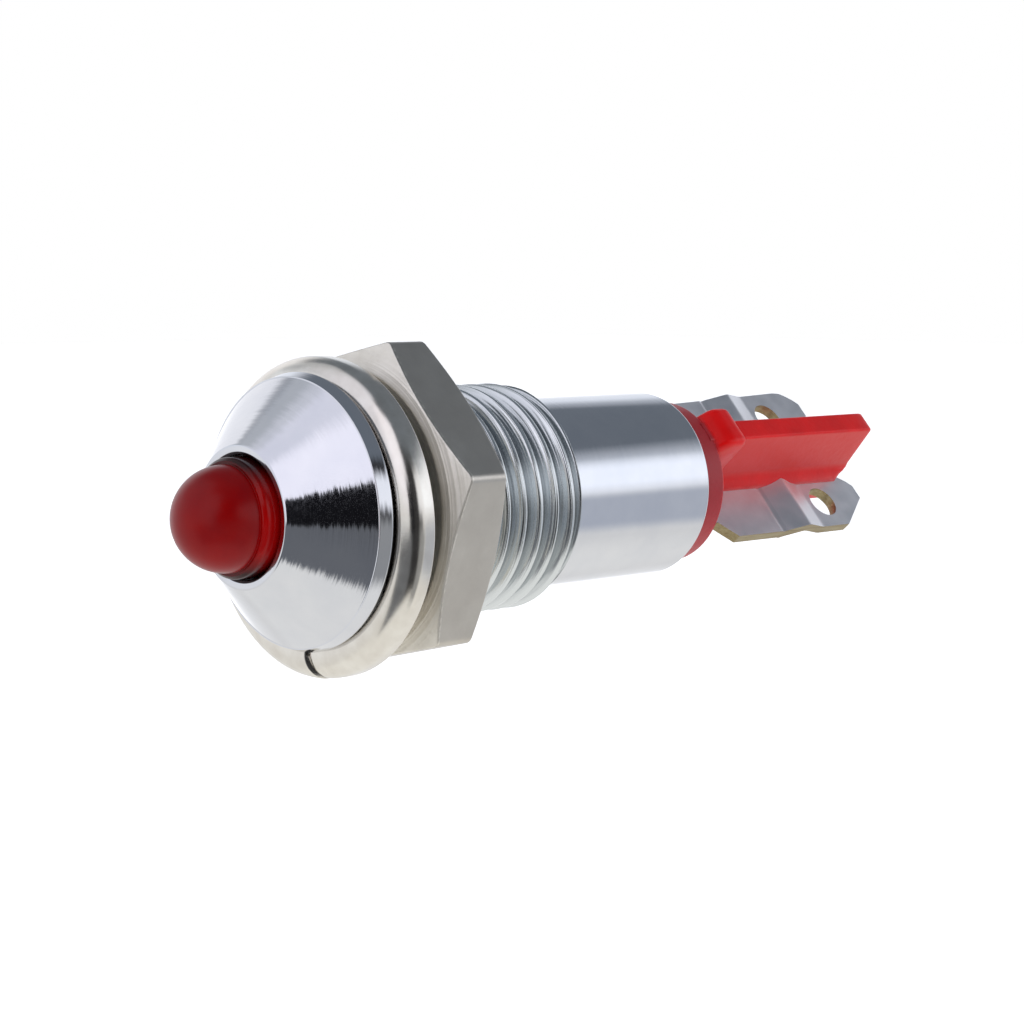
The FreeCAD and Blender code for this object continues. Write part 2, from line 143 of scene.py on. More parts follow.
world = bpy.data.worlds.new("studio")
bpy.context.scene.world = world
world.use_nodes = True
studio = world.node_tree
studio.nodes.clear()
studio_direction = node(studio, "TexCoord", output="Generated")
studio_height = arithmetic(studio, "DEGREES", arithmetic(studio, "ARCSINE", part_of(
    studio, studio_direction, "Z")))

# The room's colours from straight down to straight up, at heights in degrees.
room_colours = [(-90, (1.00, 1.00, 0.98)), (-44, (1.00, 1.00, 0.98)), (-36, (0.90, 0.90, 0.89)),
                (-4, (1.00, 1.02, 1.06)), (22, (0.92, 0.97, 1.06)), (36, (0.18, 0.205, 0.24)),
                (90, (0.17, 0.195, 0.23))]
studio_light = stepped(studio, ranged(studio, studio_height, -90.0, 90.0, 0.0, 1.0),
                       [((height + 90) / 180, colour) for height, colour in room_colours])

# Each box or card has a colour, a turn and a height for its middle, half its spread either way,
# and the blur of its edges, all in degrees. A later one lies over those before it.
studio_panels = [
    ((0.58, 0.61, 0.66), -72, 48, 12, 16, 5),
    ((0.78, 0.80, 0.88), -50, 50, 14, 22, 7),
    ((0.95, 0.96, 1.08), -20, 42, 26, 32, 9),
    ((1.25, 1.24, 1.38), 20, 32, 22, 26, 7),
    ((1.08, 1.09, 1.14), -102, 16, 18, 22, 8),
    ((1.34, 1.34, 1.38), -134, -6, 18, 12, 8),
    ((0.17, 0.18, 0.20), 18, -27, 28, 20, 3),
    ((0.04, 0.04, 0.043), 72, -2, 30, 44, 5),
    ((0.008, 0.008, 0.010), 43, 5, 11, 14, 1.5),
    ((0.36, 0.37, 0.38), 100, -28, 18, 24, 7),
    ((1.15, 1.18, 1.26), 102, 17, 20, 13, 6),
    ((0.56, 0.60, 0.68), 142, -16, 22, 14, 5),
    ((1.32, 1.38, 1.50), 140, 13, 22, 10, 6),
]
for colour, turn, height, half_turn, half_height, blur in studio_panels:
    studio_light = studio_panel(studio, studio_light, colour, turn, height, half_turn,
                                half_height, blur)

# The camera itself sees a plain white room.
seen_by_camera = node(studio, "LightPath", output="Is Camera Ray")
backdrop = node(studio, "Background", {
    "Color": mixed(studio, seen_by_camera, studio_light, (1.0, 1.0, 1.0, 1.0)), "Strength": 1.0})
node_output = studio.nodes.new("ShaderNodeOutputWorld")
studio.links.new(backdrop, node_output.inputs[0])

top_box = bpy.data.lights.new("top_box", "AREA")
top_box.size = 0.30
top_box.energy = 0.35
top_light = bpy.data.objects.new("top_box", top_box)
top_light.location = (0.0, 0.015, 0.40)
top_light.visible_glossy = False
bpy.context.scene.collection.objects.link(top_light)

table_height = -0.030
table_half = 1.2
table_mesh = bpy.data.meshes.new("white_table")
table_mesh.from_pydata([(-table_half, -table_half, table_height),
                        (table_half, -table_half, table_height),
                        (table_half, table_half, table_height),
                        (-table_half, table_half, table_height)], [], [(0, 1, 2, 3)])
table_top = bpy.data.objects.new("white_table", table_mesh)
bpy.context.scene.collection.objects.link(table_top)
table_top.visible_glossy = False
table_top.visible_transmission = False
table_paint = bpy.data.materials.new("white_table")
table_paint.use_nodes = True
table_shader = table_paint.node_tree.nodes["Principled BSDF"]
table_shader.inputs["Base Color"].default_value = (0.86, 0.86, 0.85, 1.0)
table_shader.inputs["Roughness"].default_value = 0.8
table_shader.inputs["Emission Color"].default_value = (1.0, 1.0, 1.0, 1.0)
table_shader.inputs["Emission Strength"].default_value = 0.6
table_mesh.materials.append(table_paint)

# Bezel housing
# One brass bar, turned to a cone, a land, an M8 x 0.75 thread and a plain barrel, then bored
# through from the back and chromed. The threading tool runs in from the undercut behind the seat.
MM = 0.001
FULL_TURN = 2 * math.pi
nose_face = -2.57
nose_radius = 2.30
nose_bore_radius = 1.99
nose_rim = 0.10
cone_foot_radius = 4.38
land_front = -0.53
land_front_radius = 4.42
seat_radius = 4.56
seat_edge = 0.10
undercut_radius = 3.47
undercut_middle = 0.30
undercut_end = 0.45
thread_radius = 3.93
thread_depth = 0.46
thread_pitch = 0.75
thread_crest_place = 0.30
thread_crest_half = 0.01
thread_flank_width = 0.34
thread_run_in = 0.9
thread_end = 9.25
thread_end_radius = 3.62
barrel_shoulder_radius = 3.52
barrel_radius = 3.35
barrel_end = 16.16
main_bore_radius = 2.75
cup_radius = 2.55
cup_front = -1.95
cup_middle = 0.60
cup_back = 3.25


def softened(corners, cut=0.05, steps=4, further=1.35):
    """Open outline with its inner corners rounded. Between the points A and C, a cut away from the
    corner B on either side, runs the parabola (1-s)^2 A + 2 s (1-s) B + s^2 C. One more point on
    each side, a little further out, keeps the flat faces flat when they are shaded smooth."""
    corners = np.asarray(corners, float)
    middle = corners[..., 1:-1, :]
    back = corners[..., :-2, :] - middle
    ahead = corners[..., 2:, :] - middle
    back_length = np.linalg.norm(back, axis=-1, keepdims=True)
    ahead_length = np.linalg.norm(ahead, axis=-1, keepdims=True)
    reach = np.minimum(np.minimum(back_length, ahead_length) / 3,
                       np.broadcast_to(np.asarray(cut, float), middle.shape[:-1])[..., None])
    start = middle + back / back_length * reach
    end = middle + ahead / ahead_length * reach
    s = np.linspace(0, 1, steps + 1)[:, None]
    arc = ((1 - s) ** 2 * start[..., None, :] + 2 * s * (1 - s) * middle[..., None, :]
           + s ** 2 * end[..., None, :])
    before = (middle + back / back_length * reach * further)[..., None, :]
    after = (middle + ahead / ahead_length * reach * further)[..., None, :]
    arcs = np.concatenate([before, arc, after], axis=-2)
    arcs = arcs.reshape(*corners.shape[:-2], -1, 2)
    return np.concatenate([corners[..., :1, :], arcs, corners[..., -1:, :]], axis=-2)


def round_the_axis(radius, place, angle):
    """Points at a radius from the lamp's axis and a place along it: (r cos a, y, r sin a)."""
    radius, place, angle = np.broadcast_arrays(radius, place, angle)
    return np.stack([radius * np.cos(angle), place, radius * np.sin(angle)], axis=-1)


def surface_piece(name, points, caps=False, unit=MM):
    """Mesh of a grid of points in millimetres, rows by columns. Points that fall together are
    joined, which closes its seams and poles; caps closes the first and last columns."""
    points = np.asarray(points, float)
    rows, columns = points.shape[:2]
    corner = np.arange(rows * columns).reshape(rows, columns)
    faces = np.stack([corner[:-1, :-1], corner[1:, :-1], corner[1:, 1:], corner[:-1, 1:]], axis=-1)
    faces = faces.reshape(-1, 4).tolist()
    if caps:
        faces += [corner[:-1, 0][::-1].tolist(), corner[:-1, -1].tolist()]
    mesh = bpy.data.meshes.new(name)
    mesh.from_pydata((points.reshape(-1, 3) * unit).tolist(), [], faces)
    welded = bmesh.new()
    welded.from_mesh(mesh)
    bmesh.ops.remove_doubles(welded, verts=welded.verts, dist=2e-4 * unit)
    welded.to_mesh(mesh)
    welded.free()
    mesh.shade_smooth()
    piece = bpy.data.objects.new(name, mesh)
    bpy.context.scene.collection.objects.link(piece)
    return piece


def thread_form(place, angle):
    """Radius of the thread: a function of the distance from the nearest crest, where the crest
    moves back along the lamp by one pitch for each turn down in angle, as on a right-hand screw."""
    phase = (place - thread_crest_place) / thread_pitch + angle / FULL_TURN
    away = np.abs(phase - np.round(phase)) * thread_pitch
    return thread_radius - thread_depth * np.interp(away, thread_form_away, thread_form_drop)


def thread_rows(low, high, angle):
    """Places of rows that follow the thread from low to high: the place at angle 0, less the pitch
    times the share of a turn, held between low and high. Spare rows lie wholly on either end."""
    one_turn = np.concatenate([-thread_form_away[:0:-1], thread_form_away[:-1]])
    first = math.floor((low + angle.min() / FULL_TURN * thread_pitch - thread_crest_place)
                       / thread_pitch) - 1
    last = math.ceil((high + angle.max() / FULL_TURN * thread_pitch - thread_crest_place)
                     / thread_pitch) + 1
    turns = np.arange(first, last + 1)
    start = (thread_crest_place + turns[:, None] * thread_pitch + one_turn[None, :]).ravel()
    place = start[:, None] - thread_pitch * angle[None, :] / FULL_TURN
    return np.clip(place, low, high)


# From crest to root the thread drops by half a cosine wave over the flank. The share of the flank is
# raised to a power a little over 1, which leaves the crests fuller than the roots.
thread_form_away = np.linspace(0, thread_pitch / 2, 10)
thread_form_share = np.clip((thread_form_away - thread_crest_half) / thread_flank_width, 0, 1)
thread_form_drop = 0.5 - 0.5 * np.cos(math.pi * thread_form_share ** 1.2)

# The head's outline runs from the middle of the cup round the nose to the undercut. The barrel's
# runs from the end of the thread round the back, and through the bores to the middle of the cup.
housing_angles = np.linspace(0, FULL_TURN, 289)
head_outline = softened([
    (cup_radius, cup_middle), (cup_radius, cup_front), (nose_bore_radius, cup_front),
    (nose_bore_radius, nose_face + nose_rim), (nose_bore_radius + nose_rim, nose_face),
    (nose_radius, nose_face), (cone_foot_radius, land_front), (land_front_radius, land_front),
    (seat_radius, -seat_edge), (seat_radius - seat_edge, 0.0), (undercut_radius, 0.0),
    (undercut_radius, undercut_middle),
], cut=[0.04, 0.04, 0.03, 0.03, 0.05, 0.06, 0.03, 0.05, 0.05, 0.05])
barrel_outline = softened([
    (barrel_shoulder_radius, thread_end), (barrel_radius, thread_end), (barrel_radius, barrel_end),
    (main_bore_radius, barrel_end), (main_bore_radius, cup_back), (cup_radius, cup_back),
    (cup_radius, cup_middle),
], cut=[0.05, 0.08, 0.05, 0.03, 0.03])
thread_places = thread_rows(undercut_end, thread_end, housing_angles)
run_in_radii = undercut_radius + (thread_places - undercut_end) * thread_run_in
end_chamfer_radii = thread_end_radius + (thread_end - thread_places)
thread_radii = np.minimum(thread_form(thread_places, housing_angles[None, :]),
                          np.minimum(run_in_radii, end_chamfer_radii))
housing_points = np.concatenate([
    round_the_axis(head_outline[:, :1], head_outline[:, 1:], housing_angles),
    round_the_axis(thread_radii, thread_places, housing_angles),
    round_the_axis(barrel_outline[:, :1], barrel_outline[:, 1:], housing_angles),
])
bezel_housing = surface_piece("bezel_housing", housing_points)


def plain_finish(name, **sockets):
    """Material with one Principled shader and values on its own sockets, and its node tree."""
    material = bpy.data.materials.new(name)
    material.use_nodes = True
    shader = material.node_tree.nodes["Principled BSDF"]
    for socket, value in sockets.items():
        shader.inputs[socket.replace("_", " ")].default_value = value
    return material, material.node_tree


def patterned(material, **patterns):
    """Links each pattern to the shader's own socket of that name."""
    shader = material.node_tree.nodes["Principled BSDF"]
    for socket, pattern in patterns.items():
        material.node_tree.links.new(pattern, shader.inputs[socket.replace("_", " ")])


def on_the_piece(tree, stretch=(1.0, 1.0, 1.0)):
    """Place on the piece in millimetres, stretched along its axes."""
    place = node(tree, "TexCoord", output="Object")
    return node(tree, "Mapping", {"Vector": place, "Scale": tuple(1000 * s for s in stretch)})


def mottle(tree, place, scale, detail=3.0, rough=0.55):
    """Cloudy pattern from 0 to 1, with its grain about 1 / scale millimetres across."""
    return node(tree, "TexNoise", {"Vector": place, "Scale": scale, "Detail": detail,
                                   "Roughness": rough})


# Nearly all of a cloudy pattern lies between these two.
cloud_low = 0.3
cloud_high = 0.7


def clouded(tree, cloud, low, high):
    """Value that goes from low to high with a cloudy pattern."""
    return ranged(tree, cloud, cloud_low, cloud_high, low, high)


def tinted(tree, cloud, dark, pale):
    """Colour that goes from dark to pale with a cloudy pattern."""
    return stepped(tree, cloud, [(cloud_low, dark), (cloud_high, pale)])


def relief(tree, height, depth, under=None):
    """Bump of a depth in millimetres under a height pattern from 0 to 1."""
    made = tree.nodes.new("ShaderNodeBump")
    made.inputs["Distance"].default_value = depth * MM
    tree.links.new(height, made.inputs["Height"])
    if under is not None:
        tree.links.new(under, made.inputs["Normal"])
    return made.outputs[0]


def distance_from_axis(tree, place):
    """Distance from the lamp's axis: the length of (x, 0, z)."""
    flat = node(tree, "VectorMath", {0: place, 1: (1.0, 0.0, 1.0)}, operation="MULTIPLY")
    return node(tree, "VectorMath", {0: flat}, output="Value", operation="LENGTH")


def turning_marks(tree, place, along_share, scale):
    """Fine rings left by the turning tool: noise over the distance from the axis and the place
    along it, so that it is the same all the way round."""
    ring = arithmetic(tree, "MULTIPLY_ADD", part_of(tree, place, "Y"), along_share,
                      distance_from_axis(tree, place))
    return node(tree, "TexNoise", {"W": ring, "Scale": scale, "Detail": 2.0, "Roughness": 0.6},
                noise_dimensions="1D")


def thread_streaks(tree, place, along_share=4.0, scale=1.6):
    """Scores that run round with the thread. The turn p = y / pitch + angle / (2 pi) is wound on a
    circle (cos 2 pi p, sin 2 pi p), so that the noise over it runs on from one turn of the screw to
    the next, and changes along the lamp."""
    along = part_of(tree, place, "Y")
    angle = arithmetic(tree, "ARCTAN2", part_of(tree, place, "Z"), part_of(tree, place, "X"))
    turn = arithmetic(tree, "MULTIPLY_ADD", along, FULL_TURN / thread_pitch, angle)
    wound = node(tree, "CombineXYZ", {"X": arithmetic(tree, "COSINE", turn),
                                      "Y": arithmetic(tree, "SINE", turn),
                                      "Z": arithmetic(tree, "MULTIPLY", along, along_share)})
    return node(tree, "TexNoise", {"Vector": wound, "Scale": scale, "Detail": 1.0,
                                   "Roughness": 0.6})


def tool_chatter(tree, place, amount, across_share=17.0, scale=1.6):
    """Surface direction leaning round the axis by an amount that changes from one tool mark to
    the next: normal + round_about * (noise - 0.5) * amount, with round_about = axis x place."""
    away = distance_from_axis(tree, place)
    marks = node(tree, "CombineXYZ", {
        "X": arithmetic(tree, "MULTIPLY", away, across_share),
        "Y": arithmetic(tree, "DIVIDE", part_of(tree, place, "X"), away),
        "Z": arithmetic(tree, "DIVIDE", part_of(tree, place, "Z"), away)})
    noise = node(tree, "TexNoise", {"Vector": marks, "Scale": scale, "Detail": 3.0,
                                    "Roughness": 0.7})
    leaned = arithmetic(tree, "MULTIPLY_ADD", noise, amount, -0.5 * amount)
    across = node(tree, "VectorMath", {0: (0.0, 1.0, 0.0), 1: place}, operation="CROSS_PRODUCT")
    round_about = node(tree, "VectorMath", {0: across}, operation="NORMALIZE")
    lean = node(tree, "VectorMath", {0: round_about, "Scale": leaned}, operation="SCALE")
    normal = node(tree, "NewGeometry", output="Normal")
    tilted = node(tree, "VectorMath", {0: normal, 1: lean})
    return node(tree, "VectorMath", {0: tilted}, operation="NORMALIZE")


chrome, chrome_tree = plain_finish("chromed_brass", Metallic=1.0)
chrome_place = on_the_piece(chrome_tree)
chrome_along = part_of(chrome_tree, chrome_place, "Y")
chrome_cloud = mottle(chrome_tree, chrome_place, scale=0.7)
chrome_speck = mottle(chrome_tree, chrome_place, scale=9.0, detail=4.0)
past_the_undercut = ranged(chrome_tree, chrome_along, undercut_end + 0.05, undercut_end + 0.25,
                           0.0, 1.0)
before_the_barrel = ranged(chrome_tree, chrome_along, thread_end - 0.05, thread_end + 0.05,
                           1.0, 0.0)
on_the_thread = arithmetic(chrome_tree, "MULTIPLY", past_the_undercut, before_the_barrel)
thread_level = ranged(chrome_tree, distance_from_axis(chrome_tree, chrome_place),
                      undercut_radius + 0.01, thread_radius - 0.07, 0.0, 1.0)

# The plating on the thread is rougher than elsewhere. Its colour darkens down in the roots, which is
# painted shade.
chrome_colour = tinted(chrome_tree, chrome_cloud, (0.62, 0.63, 0.665), (0.67, 0.675, 0.70))
thread_colour_with_painted_root_shade = stepped(chrome_tree, thread_level, [(0.0, (0.42, 0.445, 0.46)),
                                                    (1.0, (0.68, 0.705, 0.71))])
chrome_rough = arithmetic(chrome_tree, "MULTIPLY_ADD", on_the_thread, 0.14,
                          clouded(chrome_tree, chrome_speck, 0.06, 0.12))
chrome_bumps = relief(chrome_tree, chrome_speck, depth=0.0004,
                      under=tool_chatter(chrome_tree, chrome_place, amount=0.13))
chrome_rings = turning_marks(chrome_tree, chrome_place, along_share=0.9, scale=7.0)
chrome_bumps = relief(chrome_tree, chrome_rings, depth=0.0009, under=chrome_bumps)
streaks = arithmetic(chrome_tree, "MULTIPLY", thread_streaks(chrome_tree, chrome_place),
                     on_the_thread)
patterned(chrome,
          Base_Color=mixed(chrome_tree, on_the_thread, chrome_colour, thread_colour_with_painted_root_shade),
          Roughness=chrome_rough,
          Normal=relief(chrome_tree, streaks, depth=0.045, under=chrome_bumps))
bezel_housing.data.materials.append(chrome)
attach(bezel_housing, "lamp")
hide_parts("housing")

# Lens
# Moulded in red acrylic in one piece, with a diffusing dome, a clear collar that stands out of
# the nose of the bezel, and a flange that the LED holder presses against the head from inside.
dome_middle = -3.15
dome_radius = 1.72
dome_hollow_radius = 1.30
collar_face = -3.07
collar_radius = 1.94
collar_edge = 0.12
lens_flange_radius = 2.50
lens_flange_back = -1.35
lens_bore_radius = 1.58
lens_bore_end = -2.45
quarter = np.linspace(0, 0.5 * math.pi, 25)
dome_outside = np.stack([dome_radius * np.sin(quarter),
                         dome_middle - dome_radius * np.cos(quarter)], axis=1)
dome_inside = np.stack([dome_hollow_radius * np.cos(quarter),
                        dome_middle - dome_hollow_radius * np.sin(quarter)], axis=1)
collar_outline = softened([
    (dome_radius, dome_middle), (dome_radius, collar_face),
    (collar_radius - collar_edge, collar_face), (collar_radius, collar_face + collar_edge),
    (collar_radius, cup_front), (lens_flange_radius, cup_front),
    (lens_flange_radius, lens_flange_back), (lens_bore_radius, lens_flange_back),
    (lens_bore_radius, lens_bore_end),
    (dome_hollow_radius, lens_bore_end - lens_bore_radius + dome_hollow_radius),
    (dome_hollow_radius, dome_middle),
], cut=[0.02, 0.03, 0.06, 0.03, 0.04, 0.04, 0.04, 0.06, 0.06])
lens_outline = np.concatenate([dome_outside[:-1], collar_outline, dome_inside[1:]])
lens_angles = np.linspace(0, FULL_TURN, 145)
red_lens = surface_piece("red_lens", round_the_axis(lens_outline[:, :1], lens_outline[:, 1:],
                                                    lens_angles))
lens_acrylic, lens_tree = plain_finish("red_acrylic", IOR=1.27)
lens_place = on_the_piece(lens_tree)


def from_dome_to_collar(on_dome, on_collar):
    """Value that passes from the dome's to the collar's where the two meet."""
    return ranged(lens_tree, part_of(lens_tree, lens_place, "Y"), -3.14, -3.04, on_dome, on_collar)


lens_up = arithmetic(lens_tree, "ABSOLUTE", part_of(lens_tree, lens_place, "Z"))
lens_cloud = mottle(lens_tree, lens_place, scale=1.1, detail=2.0)
lens_edge = node(lens_tree, "LayerWeight", {"Blend": 0.30}, output="Facing")
# The dome's red darkens from the middle towards the rim, which is painted shade, and turns greyish at
# the very edge, which is a painted sheen.
dome_red_painted_rim_shade_and_sheen = stepped(lens_tree, lens_edge, [(0.0, (0.23, 0.0, 0.0)), (0.55, (0.19, 0.0, 0.001)),
                                          (0.85, (0.14, 0.018, 0.016)), (1.0, (0.26, 0.14, 0.12))])
dome_tint = mixed(lens_tree, ranged(lens_tree, lens_cloud, 0.35, 0.65, 0.0, 0.5), dome_red_painted_rim_shade_and_sheen,
                  (0.17, 0.0, 0.002, 1.0))
# The collar is bright red round its middle height and goes almost black towards its top and bottom:
# painted shade.
collar_red_painted_shade = stepped(lens_tree, ranged(lens_tree, lens_up, 0.0, 2.0, 0.0, 1.0), [
    (0.0, (0.34, 0.001, 0.001)), (0.5, (0.27, 0.001, 0.001)), (0.85, (0.02, 0.001, 0.001))])
lens_ripple = mottle(lens_tree, lens_place, scale=3.0, detail=2.0)
patterned(lens_acrylic,
          Base_Color=mixed(lens_tree, from_dome_to_collar(0.0, 1.0), dome_tint, collar_red_painted_shade),
          Transmission_Weight=from_dome_to_collar(0.0, 0.08),
          Roughness=from_dome_to_collar(0.30, 0.16),
          Normal=relief(lens_tree, lens_ripple, depth=0.002))
red_lens.data.materials.append(lens_acrylic)
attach(red_lens, "lamp")
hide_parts("lens")

# Hexagon nut
# Cut from hexagon bar, chamfered on both faces by a turning tool, tapped M8 x 0.75, then tumbled
# and nickel plated, which leaves its flats satin and its corners a little bright.
nut_front = 1.85
nut_back = 4.20
nut_half = 5.0
nut_turn = math.radians(13.0)
nut_corner_round = 0.30
nut_face_radius = 4.65
nut_chamfer_slope = math.tan(math.radians(21.5))
nut_mouth_radius = 4.27
nut_mouth_chamfer = 0.1
nut_minor_radius = 3.60
nut_thread_clearance = 0.04
half_side = math.pi / 6
corner_middle = (nut_half - nut_corner_round) / math.cos(half_side)
corner_reach = math.atan2(nut_corner_round / 2,
                          corner_middle + nut_corner_round * math.cos(half_side))
side_angles = np.concatenate([np.linspace(-half_side, -1.5 * corner_reach, 14),
                              np.linspace(-corner_reach, corner_reach, 9),
                              np.linspace(1.5 * corner_reach, half_side, 14)[:-1]])
nut_angles = nut_turn + np.append((np.arange(6)[:, None] * 2 * half_side
                                   + side_angles[None, :]).ravel(), FULL_TURN - half_side)

# On a flat, the radius is half the width over the cosine of the angle from the flat's middle.
# Round each corner runs an arc, whose middle lies at corner_middle from the axis.
from_corner = np.abs((nut_angles - nut_turn + half_side) % (2 * half_side) - half_side)
flat_radius = nut_half / np.cos(half_side - from_corner)
arc_radius = (corner_middle * np.cos(from_corner) + np.sqrt(np.maximum(
    nut_corner_round ** 2 - (corner_middle * np.sin(from_corner)) ** 2, 0)))
nut_radius = np.where(from_corner < corner_reach, arc_radius, flat_radius)
nut_drop = (nut_radius - nut_face_radius) * nut_chamfer_slope
mouth_front = nut_front + nut_mouth_chamfer
mouth_back = nut_back - nut_mouth_chamfer
mouth_bottom = nut_mouth_radius - nut_mouth_chamfer
around = np.ones_like(nut_radius)
nut_corners = np.stack([np.stack([radius * around, place * around], axis=-1) for radius, place in [
    (mouth_bottom, mouth_front), (nut_mouth_radius, nut_front), (nut_face_radius, nut_front),
    (nut_radius, nut_front + nut_drop), (nut_radius, nut_back - nut_drop),
    (nut_face_radius, nut_back), (nut_mouth_radius, nut_back), (mouth_bottom, mouth_back),
]], axis=1)
nut_outline = softened(nut_corners, cut=[0.04, 0.05, 0.05, 0.05, 0.05, 0.04]).transpose(1, 0, 2)
tapped_places = thread_rows(mouth_front, mouth_back, nut_angles)[::-1]
mouth_radii = np.maximum(nut_mouth_radius - (tapped_places - nut_front),
                         nut_mouth_radius - (nut_back - tapped_places))
tapped_radii = np.maximum(thread_form(tapped_places, nut_angles[None, :]) + nut_thread_clearance,
                          nut_minor_radius)
hexagon_nut = surface_piece("hexagon_nut", np.concatenate([
    round_the_axis(nut_outline[..., 0], nut_outline[..., 1], nut_angles),
    round_the_axis(np.maximum(tapped_radii, mouth_radii), tapped_places, nut_angles),
]))
nickel, nickel_tree = plain_finish("satin_nickel", Metallic=1.0)
nickel_place = on_the_piece(nickel_tree)
nickel_cloud = mottle(nickel_tree, nickel_place, scale=1.1, detail=5.0)
nickel_grain = mottle(nickel_tree, nickel_place, scale=14.0)
nickel_patches = mottle(nickel_tree, nickel_place, scale=5.0, detail=4.0)
nickel_flat = stepped(nickel_tree, nickel_cloud, [(0.25, (0.51, 0.475, 0.425)),
                                                  (0.6, (0.56, 0.525, 0.47)),
                                                  (0.8, (0.60, 0.565, 0.51))])
# Paler nickel: painted light on the turned faces, and the colour of the real wear on the flats.
nickel_painted_light_and_wear_colour = tinted(nickel_tree, nickel_cloud, (0.74, 0.70, 0.62), (0.85, 0.81, 0.73))

# How far a spot looks along the axis tells the turned faces from the flats. The turned faces get the
# paler colour, which is painted light. The wear lies on the flats, next to the edge that the front
# chamfer's cone cuts, and shows the same paler colour.
nickel_facing = arithmetic(nickel_tree, "ABSOLUTE", part_of(
    nickel_tree, node(nickel_tree, "TexCoord", output="Normal"), "Y"))
turned_share = ranged(nickel_tree, nickel_facing, 0.35, 0.75, 0.0, 1.0)
cone_place = arithmetic(nickel_tree, "MULTIPLY_ADD", distance_from_axis(nickel_tree, nickel_place),
                        nut_chamfer_slope, nut_front - nut_face_radius * nut_chamfer_slope)
from_the_cone = arithmetic(nickel_tree, "SUBTRACT", part_of(nickel_tree, nickel_place, "Y"),
                           cone_place)
edge_wear = arithmetic(nickel_tree, "MULTIPLY",
                       ranged(nickel_tree, from_the_cone, 0.02, 0.12, 1.0, 0.0),
                       ranged(nickel_tree, nickel_patches, 0.44, 0.58, 0.0, 1.0))
edge_wear = arithmetic(nickel_tree, "MULTIPLY", edge_wear,
                       ranged(nickel_tree, nickel_facing, 0.10, 0.30, 1.0, 0.0))
painted_light_and_wear_share = arithmetic(nickel_tree, "MAXIMUM", turned_share, edge_wear)
nickel_rough = arithmetic(nickel_tree, "MULTIPLY_ADD", turned_share, 0.12,
                          clouded(nickel_tree, nickel_grain, 0.30, 0.42))
nickel_bumps = relief(nickel_tree, nickel_grain, depth=0.0012)
nickel_bumps = relief(nickel_tree, edge_wear, depth=0.004, under=nickel_bumps)
nickel_rings = arithmetic(nickel_tree, "MULTIPLY", turning_marks(
    nickel_tree, nickel_place, along_share=0.0, scale=5.0), turned_share)
patterned(nickel,
          Base_Color=mixed(nickel_tree, painted_light_and_wear_share, nickel_flat, nickel_painted_light_and_wear_colour),
          Roughness=nickel_rough,
          Normal=relief(nickel_tree, nickel_rings, depth=0.02, under=nickel_bumps))
hexagon_nut.data.materials.append(nickel)
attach(hexagon_nut, "nut")
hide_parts("hex_nut")

# Split lock washer
# A bar of spring steel with a rounded outer edge, coiled once, slit, sprung apart and nickel
# plated. It hangs a little off centre round the thread, between the head and the nut.
washer_bore_radius = 4.29
washer_face_radius = 4.40
washer_rounding = 0.88
washer_front_rounding = 0.70
washer_back_rounding = 0.22
washer_thickness = 1.24
washer_clearance = 0.03
washer_hang = np.array([-0.18, 0.0, -0.24])
washer_slit = math.radians(-86.8)
washer_slant = math.radians(4.6)
washer_slit_width = 0.18
washer_gap = washer_slit_width / (washer_face_radius + washer_rounding)
washer_sweep = FULL_TURN - washer_gap
washer_climb = 0.10
washer_end_break = 0.03
bend = np.linspace(0, math.pi / 2, 17)
washer_outline = np.concatenate([
    softened([(washer_face_radius, washer_thickness), (washer_bore_radius, washer_thickness),
              (washer_bore_radius, 0.0), (washer_face_radius, 0.0)]),
    np.stack([washer_face_radius + washer_rounding * np.sin(bend),
              washer_front_rounding * (1 - np.cos(bend))], axis=1)[1:],
    np.stack([washer_face_radius + washer_rounding * np.cos(bend),
              washer_thickness - washer_back_rounding * (1 - np.sin(bend))], axis=1),
])

# The outline runs once round the axis, from one end of the slit to the other, and climbs evenly on
# the way. The slit's slant turns each point by its place along the lamp.
coil_rows = 215
coil_share = np.concatenate([[0.0, 0.0009], np.linspace(0.004, 0.996, coil_rows), [0.9991, 1.0]])
end_inset = washer_end_break * np.concatenate([[1.0, 0.0], np.zeros(coil_rows), [0.0, 1.0]])
outline_middle = washer_outline.mean(axis=0)
coil_radius = washer_outline[:, :1] + (outline_middle[0] - washer_outline[:, :1]) * end_inset
coil_place = washer_outline[:, 1:] + (outline_middle[1] - washer_outline[:, 1:]) * end_inset
coil_angle = (washer_slit + washer_gap / 2 + washer_sweep * (1 - coil_share)
              + washer_slant * coil_place)
coil_points = washer_hang + round_the_axis(
    coil_radius, coil_place + washer_clearance + washer_climb * coil_share, coil_angle)
lock_ring = surface_piece("lock_ring", coil_points[::-1], caps=True)
spring_nickel, spring_tree = plain_finish("bright_nickel", Metallic=1.0)
spring_place = on_the_piece(spring_tree)
spring_cloud = mottle(spring_tree, spring_place, scale=1.5, detail=4.0)
spring_bumps = relief(spring_tree, mottle(spring_tree, spring_place, scale=10.0), depth=0.001)
spring_rings = turning_marks(spring_tree, spring_place, along_share=0.6, scale=4.0)
patterned(spring_nickel,
          Base_Color=tinted(spring_tree, spring_cloud, (0.66, 0.62, 0.56), (0.76, 0.73, 0.67)),
          Roughness=clouded(spring_tree, spring_cloud, 0.16, 0.23),
          Normal=relief(spring_tree, spring_rings, depth=0.0015, under=spring_bumps))
lock_ring.data.materials.append(spring_nickel)
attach(lock_ring, "washer")
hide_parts("lock_washer")

